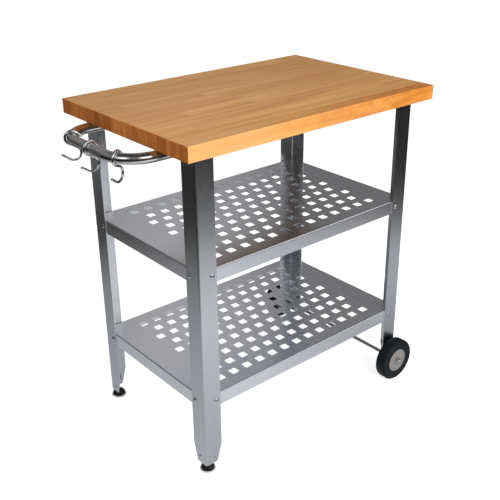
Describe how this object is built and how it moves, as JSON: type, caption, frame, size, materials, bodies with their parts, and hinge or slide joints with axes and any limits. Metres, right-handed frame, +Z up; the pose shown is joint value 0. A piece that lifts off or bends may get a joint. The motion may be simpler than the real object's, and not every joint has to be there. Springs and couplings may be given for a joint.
{
  "type": "kitchen island cart",
  "caption": "Kitchen cart with a butcher block top on angle legs, perforated steel shelves, wheels at one end, levelling feet and a hanging rail with hooks at the other.",
  "frame": {"origin": "floor under the middle of the whole cart's box, rail and hooks included", "axes": "+Z up, +X along the top from the rail end to the wheel end, -Y the front"},
  "size_m": [0.9056, 0.5646, 0.89],
  "materials": {
    "maple_block": "oiled edge-grain maple staves",
    "leg_steel": "satin stainless sheet",
    "shelf_steel": "satin stainless sheet, perforated",
    "bracket_steel": "folded steel",
    "rail_steel": "polished stainless tube",
    "hook_wire": "bright plated wire",
    "axle_steel": "drawn rod",
    "fastener_zinc": "bright zinc plate",
    "tyre_rubber": "solid rubber, satin",
    "hub_plastic": "moulded grey plastic",
    "bush_plastic": "natural nylon",
    "foot_plastic": "black moulded, semi-gloss",
    "foot_pad_plastic": "grey nylon",
    "plug_plastic": "black plastic"
  },
  "bodies": {
    "cart": {"butcher_block_top": "maple_block", "leg_front_left": "leg_steel", "leg_rear_left": "leg_steel", "leg_front_right": "leg_steel", "leg_rear_right": "leg_steel", "top_plate_front_left": "leg_steel", "top_plate_rear_left": "leg_steel", "top_plate_front_right": "leg_steel", "top_plate_rear_right": "leg_steel", "top_plate_screws": "fastener_zinc", "upper_shelf": "shelf_steel", "upper_shelf_bolts": "fastener_zinc", "upper_shelf_nuts": "fastener_zinc", "lower_shelf": "shelf_steel", "lower_shelf_bolts": "fastener_zinc", "lower_shelf_nuts": "fastener_zinc", "foot_bracket_front": "bracket_steel", "foot_bracket_rear": "bracket_steel", "foot_bracket_screws": "fastener_zinc", "foot_lock_nuts": "fastener_zinc", "axle": "axle_steel", "axle_spacers": "axle_steel", "axle_washers": "fastener_zinc", "axle_cap_nuts": "fastener_zinc", "hanging_rail": "rail_steel", "rail_screws": "fastener_zinc", "rail_end_plugs": "plug_plastic"},
    "wheel_front": {"tyre_front": "tyre_rubber", "hub_front": "hub_plastic", "hub_bush_front": "bush_plastic"},
    "foot_front": {"foot_cap_front": "foot_plastic", "foot_pad_front": "foot_pad_plastic", "foot_stem_front": "fastener_zinc"},
    "wheel_rear": {"tyre_rear": "tyre_rubber", "hub_rear": "hub_plastic", "hub_bush_rear": "bush_plastic"},
    "foot_rear": {"foot_cap_rear": "foot_plastic", "foot_pad_rear": "foot_pad_plastic", "foot_stem_rear": "fastener_zinc"},
    "hook_front": {"hook_front": "hook_wire"},
    "hook_middle": {"hook_middle": "hook_wire"},
    "hook_rear": {"hook_rear": "hook_wire"}
  },
  "joints": [
    {"name": "front_wheel_spin", "type": "hinge", "parent": "cart", "child": "wheel_front", "pos_m": [0.38683, -0.2525, 0.0635], "axis": [0, 1, 0], "continuous": true},
    {"name": "rear_wheel_spin", "type": "hinge", "parent": "cart", "child": "wheel_rear", "pos_m": [0.38683, 0.2525, 0.0635], "axis": [0, 1, 0], "continuous": true},
    {"name": "front_foot_height", "type": "slide", "parent": "cart", "child": "foot_front", "axis": [0, 0, -1], "range_m": [0, 0.012]},
    {"name": "rear_foot_height", "type": "slide", "parent": "cart", "child": "foot_rear", "axis": [0, 0, -1], "range_m": [0, 0.012]},
    {"name": "front_hook_swing", "type": "hinge", "parent": "cart", "child": "hook_front", "pos_m": [-0.41607, -0.09907, 0.8398], "axis": [0.4384, -0.8988, 0], "range_deg": [-60, 60]},
    {"name": "middle_hook_swing", "type": "hinge", "parent": "cart", "child": "hook_middle", "pos_m": [-0.42417, 0, 0.8398], "axis": [0, -1, 0], "range_deg": [-60, 60]},
    {"name": "rear_hook_swing", "type": "hinge", "parent": "cart", "child": "hook_rear", "pos_m": [-0.41607, 0.09907, 0.8398], "axis": [-0.4384, -0.8988, 0], "range_deg": [-60, 60]}
  ]
}
